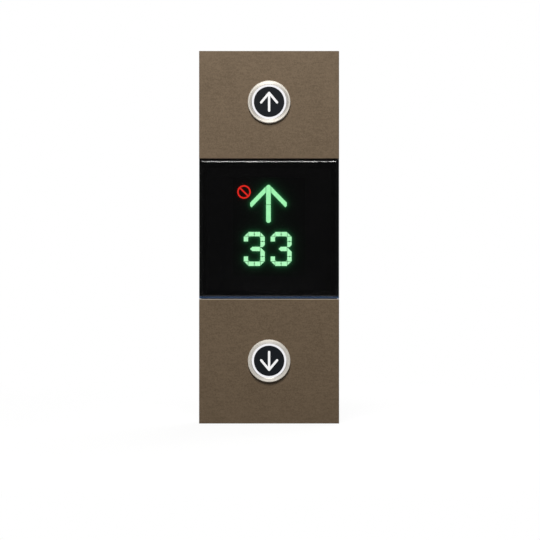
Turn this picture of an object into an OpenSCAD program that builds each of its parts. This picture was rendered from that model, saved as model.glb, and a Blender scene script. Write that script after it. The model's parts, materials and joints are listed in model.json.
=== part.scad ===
/* [Panel] */
// Width of the whole panel
panel_w = 130; // [110:1:160]
// Distance from the wall to the front of the plates
panel_d = 24; // [23:0.5:30]
// Height of the upper faceplate
upper_plate_h = 100; // [85:0.5:140]
// Height of the dark window
window_h = 129.6; // [122:0.2:150]
// Height of the lower faceplate
lower_plate_h = 115.6; // [95:0.2:150]
// Open seam between the window and each plate
seam_gap = 0.4; // [0.2:0.1:0.8]

/* [Faceplates] */
// Sheet thickness of the faceplates
plate_t = 1.5; // [1.2:0.1:2]
// How far the folded sides of a faceplate reach back
plate_return_d = 14; // [10:0.5:16]
// Broken edge around the front of a faceplate
plate_chamfer = 0.35; // [0.2:0.05:0.5]
// Gap between a folded side and the housing in it
plate_fit_gap = 0.2; // [0.1:0.05:0.4]
// Radius of the threaded studs welded behind a faceplate
stud_r = 1.5; // [1.25:0.05:1.7]
// Length of those studs behind the sheet
stud_l = 6.4; // [5:0.1:8]
// Distance of a stud from the sides and the ends of its plate
stud_inset = 11; // [9:0.5:14]
// Across corners, half, of the nuts on the studs
stud_nut_r = 3.2; // [2.9:0.1:3.6]
// Thickness of those nuts
stud_nut_t = 2.4; // [2:0.1:3]

/* [Window] */
// Thickness of the tinted window
window_t = 5; // [4:0.25:6]
// Width of the bevel around the window's front
window_bevel_w = 2.6; // [1.5:0.1:4]
// Depth of that bevel
window_bevel_d = 1.6; // [0.8:0.1:2.4]
// Thickness of the foam tape behind the window
tape_t = 0.8; // [0.5:0.1:1.2]
// Width of that tape
tape_w = 6; // [4:0.5:8]
// Distance of the tape from the window's edge
tape_inset = 1.5; // [1:0.25:3]

/* [Housing] */
// Wall thickness of the moulded housing
housing_wall = 2; // [1.6:0.1:2.4]
// Gap between the housing's rim and the wall
housing_standoff = 0.5; // [0.3:0.1:1]
// Outer radius of the pillars that carry the display board
pillar_r = 3.2; // [2.8:0.1:4]
// Width of the two hooks inside the housing's top
hook_w = 10; // [8:0.5:14]
// Thickness of those hooks
hook_t = 2; // [1.6:0.1:2.4]
// How far the hooks reach down through the base's flange
hook_reach = 3.2; // [2.6:0.1:4]
// Sideways place of the hooks and of the locking screws
hook_x = 40; // [32:0.5:46]
// Thickness of the stiffening ribs inside the housing
rib_t = 1.5; // [1.2:0.1:2]
// Height of those ribs
rib_h = 3; // [2:0.25:3.5]

/* [Wall base] */
// Sheet thickness of the wall base
base_t = 1.2; // [1:0.1:1.5]
// Height of the flanges around the wall base
base_flange_d = 9; // [8:0.5:10]
// Gap between those flanges and the housing
base_fit_gap = 0.4; // [0.3:0.05:0.6]
// Radius of the holes for the wall screws
wall_hole_r = 2.25; // [2:0.05:2.75]
// Sideways spacing of the wall screws
wall_hole_pitch_x = 80; // [60:1:90]
// Upright spacing of the wall screws
wall_hole_pitch_z = 290; // [240:1:300]
// Radius of the cable entry in the base sheet
cable_hole_r = 15; // [12:0.5:18]
// Height of the cable entry's centre, from the panel's middle
cable_hole_z = -67; // [-70:0.5:-60]
// Radius of the hole through the rubber grommet
grommet_bore_r = 11; // [8:0.5:14]
// Width of the grommet's flange outside the sheet's hole
grommet_flange_w = 2.5; // [2:0.25:4]
// Thickness of the grommet's flange
grommet_flange_t = 1.5; // [1:0.1:2.5]

/* [Locking screws] */
// Thread radius of the two locking screws
lock_r = 1.5; // [1.25:0.05:1.75]
// Head radius of the locking screws
lock_head_r = 2.7; // [2.4:0.1:3]
// Head height of the locking screws
lock_head_h = 1.5; // [1.2:0.1:1.6]
// Length of the locking screws under the head
lock_l = 7; // [6:0.5:9]
// Distance of the locking screws from the wall
lock_d = 5; // [4.5:0.25:6]
// Radius of the nuts welded on the base for them
lock_nut_r = 3; // [2.6:0.1:3.4]
// Height of those nuts
lock_nut_h = 2.5; // [2:0.1:3.5]

/* [Buttons] */
// Centre of the up button below the panel's top edge
up_button_drop = 47.4; // [44:0.2:60]
// Centre of the down button above the panel's bottom edge
down_button_rise = 58.3; // [46:0.1:62]
// Travel of a button
button_travel = 1.5; // [1:0.1:1.6]
// Outer radius of the steel bezel
bezel_r = 19.7; // [19.3:0.1:21]
// Inner radius of the steel bezel
bezel_bore_r = 16; // [15.9:0.05:16.2]
// Height of the bezel's flange
bezel_flange_h = 2.5; // [2:0.1:3]
// Fillet of the bezel's outer rim
bezel_fillet_r = 0.9; // [0.5:0.1:1.2]
// Chamfer of the bezel's inner rim
bezel_chamfer = 0.5; // [0.3:0.05:0.8]
// Outer radius of the threaded sleeve behind the flange
sleeve_r = 17.4; // [17.3:0.05:17.6]
// Length of the sleeve behind the flange
sleeve_l = 11.4; // [10.6:0.1:11.6]
// Gap between the sleeve and the plate's hole
sleeve_gap = 0.2; // [0.1:0.05:0.4]
// Thickness of the rubber ring under the flange
seal_t = 0.4; // [0.3:0.05:0.8]
// Width of that rubber ring
seal_w = 1.6; // [1.2:0.1:2]
// Outer radius of the ring nut behind the plate
ring_nut_r = 20.8; // [20:0.1:22]
// Thickness of the ring nut
ring_nut_t = 2.5; // [2:0.1:3]
// Number of spanner notches in the ring nut
ring_nut_notches = 6; // [4:1:8]
// Width of a spanner notch
notch_w = 4; // [3:0.25:5]
// Depth of a spanner notch
notch_d = 1.4; // [1:0.1:1.8]

/* [Button cap] */
// Outer radius of the black cap
cap_r = 14.1; // [14:0.05:14.15]
// Thickness of the cap's front
cap_front_t = 1.6; // [1.2:0.1:2]
// Wall thickness of the cap's skirt
cap_skirt_t = 1.3; // [1:0.05:1.5]
// Distance of the cap's front behind the bezel's front
cap_recess = 0.5; // [0.3:0.05:0.8]
// Radius of the lip that keeps the cap from coming out
cap_lip_r = 14.45; // [14.4:0.05:14.5]
// Thickness of that lip
cap_lip_t = 1.4; // [1:0.1:1.8]
// Inner radius of the lit ring
halo_bore_r = 14.2; // [14.18:0.01:14.25]
// Distance of the lit ring's front behind the bezel's front
halo_recess = 0.6; // [0.4:0.05:1]
// Depth of the lit ring
halo_d = 6.8; // [6.4:0.1:7]
// Small gap that lets round pieces slide into each other
slip_gap = 0.05; // [0.03:0.01:0.08]
// Stroke of the arrow in a cap
cap_arrow_stroke = 2.1; // [1.6:0.1:2.6]
// Stroke of that arrow's two arms
cap_arm_stroke = 2.1; // [1.6:0.1:2.8]
// Height of the arrow in a cap
cap_arrow_h = 18.6; // [16:0.1:21]
// Slant of the arrow's arms, from the horizontal
cap_arrow_slant = 50; // [40:1:60]
// Length of an arm's centre line
cap_arm_l = 11.5; // [9:0.1:13]

/* [Button works] */
// Thickness of the disc that carries the cap
carrier_t = 1.6; // [1.2:0.1:2]
// Radius of the stem that presses the switch
stem_r = 3.2; // [2.8:0.1:3.6]
// Radius of the hub that stops the travel
hub_r = 4.4; // [4:0.1:4.6]
// Length of that hub
hub_l = 2.7; // [2:0.1:3]
// Inner radius of the button's barrel
barrel_bore_r = 14.6; // [14.55:0.05:14.7]
// Radius of the barrel's rear flange
barrel_flange_r = 18.4; // [18:0.1:19]
// Thickness of that flange
barrel_flange_t = 1.5; // [1.2:0.1:2]
// Thickness of the barrel's floor
barrel_floor_t = 1.4; // [1:0.1:1.6]
// Length of the guide boss on the floor
guide_l = 5; // [4:0.1:5.2]
// Outer radius of that guide boss
guide_r = 4.6; // [4.3:0.1:4.8]
// Radius of the light holes in the floor
light_hole_r = 1.6; // [1.2:0.1:2]
// Distance of the light holes and the lamps from the middle
light_hole_place_r = 11.2; // [10:0.1:11.6]
// Number of light holes and lamps in a button
light_holes = 6; // [4:1:8]
// Mean radius of the return spring
spring_r = 5.8; // [5.4:0.1:6.6]
// Wire radius of the return spring
spring_wire_r = 0.35; // [0.25:0.05:0.45]
// Turns of the return spring
spring_turns = 5; // [4:1:6]
// Thickness of the round board
round_board_t = 1.2; // [1:0.1:1.6]
// Space between the round board and the barrel's floor
lamp_room = 4.4; // [4:0.1:4.6]
// Width of the switch's square body
switch_w = 6; // [5:0.1:7]
// Height of the switch's body
switch_h = 3; // [2.6:0.1:3.1]
// Radius of the switch's plunger
plunger_r = 1.7; // [1.4:0.05:2]
// Length of the plunger
plunger_l = 2.6; // [2.4:0.1:2.8]
// Radius of the screws that hold the round board
board_screw_r = 0.8; // [0.7:0.05:0.9]
// Height of those screws' heads
board_screw_head_h = 1.1; // [0.9:0.1:1.3]
// Length of those screws under the head
board_screw_l = 4.6; // [3.6:0.1:5]
// Distance of those screws from the middle
board_screw_place_r = 12; // [11:0.1:12.2]
// Radius of the posts that they bite into
board_post_r = 1.9; // [1.6:0.1:2]

/* [Display] */
// Height of the display's middle above the window's middle
display_z = 2.2; // [0:0.1:4]
// Width of the display's opening in the housing
display_w = 68; // [62:0.5:74]
// Height of the display's opening
display_h = 92; // [84:0.5:94]
// Gap around the mask and the light block in that opening
display_gap = 0.2; // [0.1:0.05:0.4]
// Gap between the mask and the window
mask_gap = 0.8; // [0.6:0.05:1.2]
// Thickness of the black mask
mask_t = 1.2; // [0.8:0.1:1.5]
// Depth of the light block behind the mask
light_block_d = 6.5; // [6:0.1:7]
// Depth of the clear fillings in the mask and the block
filling_d = 5; // [4:0.1:5.4]
// Width of the display board
board_w = 84; // [80:0.5:90]
// Height of the display board
board_h = 104; // [100:0.5:108]
// Thickness of the display board
board_t = 1.6; // [1.2:0.1:2]
// Distance of the board's screws from its edges
board_inset = 4; // [3.5:0.25:5]
// Thread radius of the display board's screws
pillar_screw_r = 1.2; // [1:0.05:1.4]
// Head radius of those screws
pillar_screw_head_r = 2.3; // [2:0.1:2.6]
// Head height of those screws
pillar_screw_head_h = 1.4; // [1.2:0.1:1.8]
// Length of those screws under the head
pillar_screw_l = 6; // [5:0.1:7]

/* [Digits] */
// Width of a digit
digit_w = 19.5; // [17:0.1:21]
// Height of a digit
digit_h = 31.6; // [28:0.1:34]
// Stroke of a digit
digit_stroke = 4; // [3.6:0.1:5]
// Chamfer of a digit's outer corners
digit_chamfer = 4.5; // [3:0.1:5]
// Chamfer of a digit's inner corners
digit_inner_chamfer = 1.4; // [1:0.1:2]
// Length of the two open ends on the left of a three
digit_stub_h = 8.8; // [8:0.1:10]
// Left end of the middle bar in the tens, from the digit's left edge
tens_bar_x = 5.9; // [4.8:0.1:7]
// Left end of the middle bar in the units, from the digit's left edge
units_bar_x = 7.4; // [4.8:0.1:7.4]
// Length of the point at the middle bar's left end
middle_bar_point = 2.1; // [1.5:0.1:2.2]
// Spacing of the two digits
digit_pitch = 25; // [23:0.1:28]
// Sideways place of the middle between the two digits
digits_x = -1.3; // [-2:0.1:2]
// Height of the digits' foot above the display's middle
digits_foot_z = -36.6; // [-38:0.1:-34]
// Width of the dark lines between the lit parts
lit_line = 0.42; // [0.2:0.02:0.5]
// Radius of the dark dots on the lit parts
lit_dot_r = 0.6; // [0.3:0.05:0.7]

/* [Signs] */
// Height of the tip of the lit arrow above the display's middle
arrow_tip_z = 38.8; // [37:0.1:40]
// Sideways place of the lit arrow
arrow_x = -0.6; // [-2:0.1:2]
// Length of the lit arrow
arrow_l = 35.2; // [32:0.1:37]
// Width of the lit arrow's shaft
arrow_shaft_w = 4.3; // [3.6:0.1:5]
// Width of the lit arrow's arms
arrow_arm_w = 3.9; // [3.4:0.1:4.6]
// Slant of those arms, from the horizontal
arrow_slant = 46; // [40:1:52]
// Sideways reach of each arm from the shaft's middle
arrow_reach = 17; // [14:0.1:18]
// Broken corners of the lit arrow
arrow_chamfer = 1.3; // [0.8:0.1:1.8]
// Where the shaft is split, below the tip
arrow_split = 18.4; // [16:0.1:22]
// How far the arms' outer edges would meet above the tip
arrow_arm_rise = 1.1; // [0:0.1:1.6]
// Outer radius of the red no-entry sign
sign_r = 6.3; // [5:0.1:7]
// Stroke of the red no-entry sign
sign_stroke = 1.4; // [1.2:0.1:2.2]
// Sideways place of the red sign
sign_x = -23.4; // [-25:0.1:-21]
// Height of the red sign above the display's middle
sign_z = 32.3; // [28:0.1:36]

/* [Electronics] */
// Width of the main chip
chip_w = 12; // [9:0.5:14]
// Thickness of the chips
chip_t = 1.4; // [1:0.1:2]
// Length of a driver chip
driver_l = 10; // [8:0.5:12]
// Width of a driver chip
driver_w = 5.2; // [4:0.1:6]
// Length of the terminal block
terminal_l = 30; // [24:0.5:36]
// Width of the terminal block
terminal_w = 8; // [7:0.25:10]
// Height of the terminal block
terminal_h = 6.2; // [5.5:0.1:6.4]
// Number of wires that the terminal block takes
terminal_ways = 6; // [4:1:8]
// Radius of a wire hole in the terminal block
terminal_hole_r = 1.3; // [1:0.1:1.5]
// Depth of a wire hole
terminal_hole_d = 5; // [4:0.25:6]
// Radius of the two capacitors
capacitor_r = 3.2; // [2.5:0.1:4]
// Height of the two capacitors
capacitor_h = 5.6; // [5:0.1:6]
// Length of a cable header
header_l = 9.8; // [8:0.1:12]
// Width of a cable header
header_w = 4.2; // [3.8:0.1:5]
// Height of a cable header
header_h = 3.6; // [3:0.1:4]
// Wall thickness of a cable header
header_wall = 0.7; // [0.5:0.05:0.9]
// Side of a small lamp chip
lamp_w = 2; // [1.6:0.1:2.4]
// Height of a small lamp chip
lamp_h = 0.9; // [0.6:0.1:1.2]

/* [Hidden] */
// How far a cut runs past the surface it goes through
overrun = 1;
// Fine circles
$fn = 96;

panel_h = upper_plate_h + window_h + lower_plate_h + 2 * seam_gap;
panel_top = panel_h / 2;
panel_bottom = -panel_h / 2;
upper_plate_lo = panel_top - upper_plate_h;
window_hi = upper_plate_lo - seam_gap;
window_lo = window_hi - window_h;
window_mid = (window_hi + window_lo) / 2;
display_mid = window_mid + display_z;
lower_plate_hi = window_lo - seam_gap;
up_button_z = panel_top - up_button_drop;
down_button_z = panel_bottom + down_button_rise;

// Levels are distances from the wall
plate_back = panel_d - plate_t;
return_back = panel_d - plate_return_d;
window_back = panel_d - window_t;
window_seat = window_back - tape_t;
housing_front_in = plate_back - housing_wall;
seat_in = window_seat - housing_wall;
mask_front = window_back - mask_gap;
mask_back = mask_front - mask_t;
board_front = mask_back - light_block_d;
board_back = board_front - board_t;
filling_back = mask_front - filling_d;

// The housing fits inside the folded sides of the plates
housing_w = panel_w - 2 * (plate_t + plate_fit_gap);
housing_h = panel_h - 2 * (plate_t + plate_fit_gap);
cavity_w = housing_w - 2 * housing_wall;
cavity_h = housing_h - 2 * housing_wall;
base_w = cavity_w - 2 * base_fit_gap;
base_h = cavity_h - 2 * base_fit_gap;
stud_hole_r = stud_r + plate_fit_gap;
sleeve_hole_r = sleeve_r + sleeve_gap;
lock_hole_r = lock_r + plate_fit_gap;
hook_slot_gap = 0.4;
hook_back = 3;

// Levels of a button
bezel_back = panel_d + seal_t;
bezel_front = bezel_back + bezel_flange_h;
sleeve_back = bezel_back - sleeve_l;
halo_front = bezel_front - halo_recess;
halo_back = halo_front - halo_d;
halo_r = bezel_bore_r - slip_gap;
cap_front = bezel_front - cap_recess;
cap_roof = cap_front - cap_front_t;
lip_gap = 0.1;
lip_top = halo_back - lip_gap;
cap_back = lip_top - cap_lip_t;
cap_bore_r = cap_r - cap_skirt_t;
carrier_back = cap_roof - carrier_t;
barrel_r = bezel_bore_r - slip_gap;
barrel_flange_front = sleeve_back;
floor_front = carrier_back - button_travel - hub_l - guide_l;
guide_front = floor_front + guide_l;
hub_back = guide_front + button_travel;
floor_back = floor_front - barrel_floor_t;
round_board_front = floor_back - lamp_room;
round_board_back = round_board_front - round_board_t;
barrel_rim = 1;
barrel_back = round_board_back - barrel_rim;
switch_front = round_board_front + switch_h;
plunger_proud = 2;
plunger_front = switch_front + plunger_proud;
plunger_back = plunger_front - plunger_l;
switch_well = plunger_back - button_travel - slip_gap;
round_board_gap = 0.2;
round_board_r = barrel_bore_r - round_board_gap;
post_bore_r = board_screw_r + slip_gap;
post_count = 3;
// Facets of the spring's helix and of its wire
spring_steps = 20;
wire_sides = 6;

// Where the screws of the display board stand
pillar_x = board_w / 2 - board_inset;
pillar_z = board_h / 2 - board_inset;
pillar_bore_r = pillar_screw_r + slip_gap;

// Lower left corners of the two digits
tens_place = [digits_x - digit_pitch / 2 - digit_w / 2, digits_foot_z];
units_place = [digits_x + digit_pitch / 2 - digit_w / 2, digits_foot_z];

// The notch on the right of a three, below the digit's top and in from its right edge
notch_top = 12.1;
notch_mid = 14.3;
notch_low = 18.5;
notch_in = 2.2;

// Where the lamps lie behind the digits, as shares of a digit's width and height
digit_lamp_shares = [
    [0.11, 0.79], [0.32, 0.93], [0.68, 0.93], [0.89, 0.8], [0.89, 0.65],
    [0.5, 0.5], [0.89, 0.36], [0.89, 0.2], [0.68, 0.07], [0.32, 0.07],
    [0.11, 0.21], [0.11, 0.42], [0.11, 0.58]
];
// Where the lamps lie behind the lit arrow, right of its shaft and below its tip, as shares of its length
arrow_lamp_shares = [
    [0, 0.14], [0, 0.38], [0, 0.66], [0, 0.88], [0.18, 0.25], [0.34, 0.41], [-0.18, 0.25], [-0.34, 0.41]
];
// Angles of the lamps behind the red sign's ring
sign_lamp_angles = [45, 135, 225, 315];
sign_lamp_w = 1;

// Places of the electronics on the back of the display board, from the board's middle
chip_place = [0, 14];
driver_place_x = 22;
driver_place_z = 14;
terminal_place = [0, -42];
capacitor_place_x = 26;
capacitor_place_z = -18;
header_place_x = 27;
header_place_z = 40;
button_header_place = [0, -8];

// Every piece is drawn lying on its back: x to the right, y up the wall and z away
// from the wall. This stands it up against the wall.
module upright() {
    rotate([90, 0, 0]) children();
}

// A block centred on x, between two heights and two levels
module block(w, lo, hi, back, front) {
    translate([-w / 2, lo, back]) cube([w, hi - lo, front - back]);
}

// A block centred on a place, between two levels
module pad(place, w, h, back, front) {
    translate([place[0] - w / 2, place[1] - h / 2, back]) cube([w, h, front - back]);
}

// A round bar between two levels
module bar(r, back, front) {
    translate([0, 0, back]) cylinder(r = r, h = front - back);
}

// A pipe between two levels
module pipe(r, bore_r, back, front) {
    difference() {
        bar(r, back, front);
        bar(bore_r, back - overrun, front + overrun);
    }
}

// The end view of a slab whose front edges are bevelled
module bevelled_profile(w, t, bevel_w, bevel_d) {
    polygon([
        [-w / 2, 0], [w / 2, 0], [w / 2, t - bevel_d],
        [w / 2 - bevel_w, t], [-w / 2 + bevel_w, t], [-w / 2, t - bevel_d]
    ]);
}

// A slab whose four front edges are bevelled
module bevelled_slab(w, h, t, bevel_w, bevel_d) {
    intersection() {
        translate([0, h / 2, 0]) rotate([90, 0, 0])
            linear_extrude(height = h) bevelled_profile(w, t, bevel_w, bevel_d);
        translate([-w / 2, 0, 0]) rotate([90, 0, 90])
            linear_extrude(height = w) bevelled_profile(h, t, bevel_w, bevel_d);
    }
}

// Copies at the four corners of a rectangle
module at_corners(x, lo, hi) {
    for (sx = [-1, 1], y = [lo, hi]) translate([sx * x, y, 0]) children();
}

// Copies left and right of the middle
module both_sides(x) {
    for (sx = [-1, 1]) translate([sx * x, 0, 0]) children();
}

// Copies around the middle
module around(count, r) {
    for (i = [0 : count - 1]) rotate([0, 0, 90 + i * 360 / count]) translate([r, 0, 0]) children();
}

// Wall side

// Moves what is drawn around the display's middle to its place
module at_display() {
    translate([0, display_mid, 0]) children();
}

// The sheet tray that is screwed to the wall
module wall_base() {
    flange_in_w = base_w - 2 * base_t;
    flange_in_h = base_h - 2 * base_t;
    lock_at = -base_h / 2;
    color("silver") upright() difference() {
        union() {
            difference() {
                block(base_w, -base_h / 2, base_h / 2, 0, base_flange_d);
                block(flange_in_w, -flange_in_h / 2, flange_in_h / 2, base_t, base_flange_d + overrun);
            }
            both_sides(hook_x) translate([0, lock_at + base_t, lock_d]) rotate([-90, 0, 0])
                cylinder(r = lock_nut_r, h = lock_nut_h);
        }
        at_corners(wall_hole_pitch_x / 2, -wall_hole_pitch_z / 2, wall_hole_pitch_z / 2)
            bar(wall_hole_r, -overrun, base_t + overrun);
        translate([0, cable_hole_z, 0]) bar(cable_hole_r, -overrun, base_t + overrun);
        both_sides(hook_x) pad(
            [0, base_h / 2 - base_t / 2], hook_w + 2 * hook_slot_gap, base_t + 2 * overrun,
            hook_back - hook_slot_gap, hook_back + hook_t + hook_slot_gap
        );
        both_sides(hook_x) translate([0, lock_at - overrun, lock_d]) rotate([-90, 0, 0])
            cylinder(r = lock_r + slip_gap, h = base_t + lock_nut_h + 2 * overrun);
    }
}

// The rubber ring that guards the landing cable against the sheet
module cable_grommet() {
    color("dimgray") upright() translate([0, cable_hole_z, 0]) difference() {
        union() {
            bar(cable_hole_r, 0, base_t);
            bar(cable_hole_r + grommet_flange_w, base_t, base_t + grommet_flange_t);
        }
        bar(grommet_bore_r, -overrun, base_t + grommet_flange_t + overrun);
    }
}

// Front side

// The moulded housing that carries everything but the wall base
module housing() {
    color([0.06, 0.06, 0.065]) upright() {
        difference() {
            union() {
                block(housing_w, -housing_h / 2, housing_h / 2, housing_standoff, plate_back);
                block(panel_w, window_lo, window_hi, return_back, window_seat);
            }
            block(panel_w + 2 * overrun, lower_plate_hi, upper_plate_lo, window_seat, panel_d);
            block(cavity_w, upper_plate_lo + housing_wall, cavity_h / 2, -overrun, housing_front_in);
            block(cavity_w, -cavity_h / 2, lower_plate_hi - housing_wall, -overrun, housing_front_in);
            block(
                cavity_w, lower_plate_hi - housing_wall - overrun, upper_plate_lo + housing_wall + overrun,
                -overrun, seat_in
            );
            pad([0, display_mid], display_w, display_h, seat_in - overrun, window_seat + overrun);
            for (y = [up_button_z, down_button_z])
                translate([0, y, 0]) bar(sleeve_hole_r, housing_front_in - overrun, panel_d);
            for (ends = [[upper_plate_lo, panel_top], [panel_bottom, lower_plate_hi]])
                at_corners(panel_w / 2 - stud_inset, ends[0] + stud_inset, ends[1] - stud_inset)
                    bar(stud_hole_r, housing_front_in - overrun, panel_d);
            both_sides(hook_x) translate([0, -housing_h / 2 - overrun, lock_d]) rotate([-90, 0, 0])
                cylinder(r = lock_hole_r, h = housing_wall + 2 * overrun);
        }
        // Pillars behind the window's seat, for the display board
        at_display() at_corners(pillar_x, -pillar_z, pillar_z) difference() {
            bar(pillar_r, board_front, window_seat);
            bar(pillar_bore_r, board_front - overrun, seat_in);
        }
        // Hooks that hang the housing on the base's top flange
        both_sides(hook_x)
            pad([0, cavity_h / 2 - hook_reach / 2], hook_w, hook_reach, hook_back, hook_back + hook_t);
        // Ribs across the inside of both plate fields, midway between the ring nut and the studs' nuts
        for (field = [
            [upper_plate_lo, up_button_z, panel_top],
            [panel_bottom, down_button_z, lower_plate_hi]
        ]) {
            low = (field[0] + stud_inset + stud_nut_r + field[1] - ring_nut_r) / 2;
            high = (field[2] - stud_inset - stud_nut_r + field[1] + ring_nut_r) / 2;
            for (y = [low, high])
                pad([0, y], cavity_w, rib_t, housing_front_in - rib_h, housing_front_in);
        }
    }
}

// Two screws from below that lock the housing to the base
module locking_screws() {
    head_z = -housing_h / 2;
    socket_r = 1.3;
    socket_d = 1;
    color("gray") upright() both_sides(hook_x) translate([0, head_z, lock_d]) rotate([-90, 0, 0])
        difference() {
            union() {
                bar(lock_head_r, -lock_head_h, 0);
                bar(lock_r, 0, lock_l);
            }
            translate([0, 0, -lock_head_h - overrun])
                cylinder(r = socket_r, h = socket_d + overrun, $fn = 6);
        }
}

// A folded faceplate with its seam edge at y = 0 and its far end at y = h
module folded_plate(h) {
    difference() {
        translate([0, h / 2, return_back])
            bevelled_slab(panel_w, h, plate_return_d, plate_chamfer, plate_chamfer);
        block(panel_w - 2 * plate_t, -overrun, h - plate_t, return_back - overrun, plate_back);
    }
}

// The studs behind a faceplate between two heights
module plate_studs(lo, hi) {
    at_corners(panel_w / 2 - stud_inset, lo + stud_inset, hi - stud_inset)
        bar(stud_r, plate_back - stud_l, plate_back);
}

module upper_faceplate() {
    color([0.44, 0.38, 0.31]) upright() {
        difference() {
            translate([0, upper_plate_lo, 0]) folded_plate(upper_plate_h);
            translate([0, up_button_z, 0]) bar(sleeve_hole_r, plate_back - overrun, panel_d + overrun);
        }
        plate_studs(upper_plate_lo, panel_top);
    }
}

module lower_faceplate() {
    color([0.38, 0.32, 0.25]) upright() {
        difference() {
            translate([0, lower_plate_hi, 0]) mirror([0, 1, 0]) folded_plate(lower_plate_h);
            translate([0, down_button_z, 0]) bar(sleeve_hole_r, plate_back - overrun, panel_d + overrun);
        }
        plate_studs(panel_bottom, lower_plate_hi);
    }
}

module faceplate_nuts() {
    color("lightgray") upright()
        for (ends = [[upper_plate_lo, panel_top], [panel_bottom, lower_plate_hi]])
            at_corners(panel_w / 2 - stud_inset, ends[0] + stud_inset, ends[1] - stud_inset)
                difference() {
                    translate([0, 0, housing_front_in - stud_nut_t])
                        cylinder(r = stud_nut_r, h = stud_nut_t, $fn = 6);
                    bar(
                        stud_r + slip_gap,
                        housing_front_in - stud_nut_t - overrun, housing_front_in + overrun
                    );
                }
}

module window() {
    color([0.05, 0.05, 0.055, 0.8]) upright() translate([0, window_mid, window_back])
        bevelled_slab(panel_w, window_h, window_t, window_bevel_w, window_bevel_d);
}

module window_tape() {
    outer_w = panel_w - 2 * tape_inset;
    outer_h = window_h - 2 * tape_inset;
    color("black") upright() difference() {
        pad([0, window_mid], outer_w, outer_h, window_seat, window_back);
        pad(
            [0, window_mid], outer_w - 2 * tape_w, outer_h - 2 * tape_w,
            window_seat - overrun, window_back + overrun
        );
    }
}

// Display outlines

// A rectangle with its lower left corner at the origin and its corners cut
module cut_rectangle(w, h, c) {
    polygon([[c, 0], [w - c, 0], [w, c], [w, h - c], [w - c, h], [c, h], [0, h - c], [0, c]]);
}

// A thin line across the drawing, upright at x or level at y
module upright_line(x, lo, hi) {
    translate([x - lit_line / 2, lo]) square([lit_line, hi - lo]);
}
module level_line(y, left, right) {
    translate([left, y - lit_line / 2]) square([right - left, lit_line]);
}

// The whole ring of a digit, which a three leaves open on its left
module digit_ring() {
    s = digit_stroke;
    difference() {
        cut_rectangle(digit_w, digit_h, digit_chamfer);
        translate([s, s]) cut_rectangle(digit_w - 2 * s, digit_h - 2 * s, digit_inner_chamfer);
    }
}

// The dark lines and dots between the parts of a digit
module digit_lines() {
    s = digit_stroke;
    mid = digit_w / 2;
    right = digit_w - s;
    for (x = [s, mid, right]) {
        upright_line(x, -overrun, s + overrun);
        upright_line(x, digit_h - s - overrun, digit_h + overrun);
    }
    for (y = [s, digit_h - s]) {
        level_line(y, -overrun, s + overrun);
        level_line(y, right - overrun, digit_w + overrun);
    }
    for (y = [digit_stub_h, digit_h - digit_stub_h]) level_line(y, right - overrun, digit_w + overrun);
    for (y = [s / 2, digit_h - s / 2]) translate([mid, y]) circle(lit_dot_r);
    for (y = [digit_stub_h, digit_h - digit_stub_h]) translate([right + s / 2, y]) circle(lit_dot_r);
}

// The lit outline of a three, with its lower left corner at the origin and its middle bar from bar_x on
module three(bar_x) {
    s = digit_stroke;
    mid = digit_h / 2;
    right = digit_w - s;
    difference() {
        digit_ring();
        translate([-overrun, digit_stub_h])
            square([bar_x, digit_h - 2 * digit_stub_h]);
        polygon([
            [digit_w + overrun, digit_h - notch_top + overrun], [digit_w - notch_in, digit_h - notch_mid],
            [right, digit_h - notch_mid], [digit_w + overrun, digit_h - notch_low - overrun]
        ]);
        level_line(digit_h - notch_mid, right - overrun, digit_w);
        digit_lines();
    }
    polygon([
        [bar_x, mid], [bar_x + middle_bar_point, mid - s / 2], [right - lit_line, mid - s / 2],
        [right - lit_line, mid + s / 2], [bar_x + middle_bar_point, mid + s / 2]
    ]);
}

// The two parts on the left that a three leaves dark
module dark_left() {
    inset = 2 * lit_line;
    for (y = [digit_stub_h + inset, digit_h / 2 + inset])
        translate([0, y]) square([digit_stroke, digit_h / 2 - digit_stub_h - 2 * inset]);
}

// An arm of the lit arrow, down to the right from the shaft's side to an upright end
module arrow_arm() {
    root = arrow_shaft_w / 2 + lit_line;
    slope = tan(arrow_slant);
    drop = arrow_arm_w / cos(arrow_slant);
    foot = arrow_arm_rise - (arrow_reach - arrow_chamfer) * slope - drop;
    polygon([
        [root, arrow_arm_rise - root * slope], [arrow_reach, arrow_arm_rise - arrow_reach * slope],
        [arrow_reach, foot + arrow_chamfer], [arrow_reach - arrow_chamfer, foot],
        [root, arrow_arm_rise - root * slope - drop]
    ]);
}

// The lit arrow, with its tip at the origin
module lit_arrow_outline() {
    w = arrow_shaft_w;
    difference() {
        translate([-w / 2, -arrow_l]) cut_rectangle(w, arrow_l, arrow_chamfer);
        level_line(-arrow_split, -w, w);
    }
    arrow_arm();
    mirror([1, 0]) arrow_arm();
}

// The no-entry sign, centred on the origin
module sign_outline() {
    difference() {
        circle(sign_r);
        circle(sign_r - sign_stroke);
    }
    intersection() {
        circle(sign_r - sign_stroke / 2);
        rotate(-45) square([2 * sign_r, sign_stroke], center = true);
    }
}

// All openings of the display, around its middle
module all_outlines() {
    translate(tens_place) three(tens_bar_x);
    translate(units_place) three(units_bar_x);
    for (place = [tens_place, units_place]) translate(place) dark_left();
    translate([arrow_x, arrow_tip_z]) lit_arrow_outline();
    translate([sign_x, sign_z]) sign_outline();
}

// A clear filling that lies in the mask and the light block
module filling() {
    upright() at_display() translate([0, 0, filling_back]) linear_extrude(height = filling_d) children();
}

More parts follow.
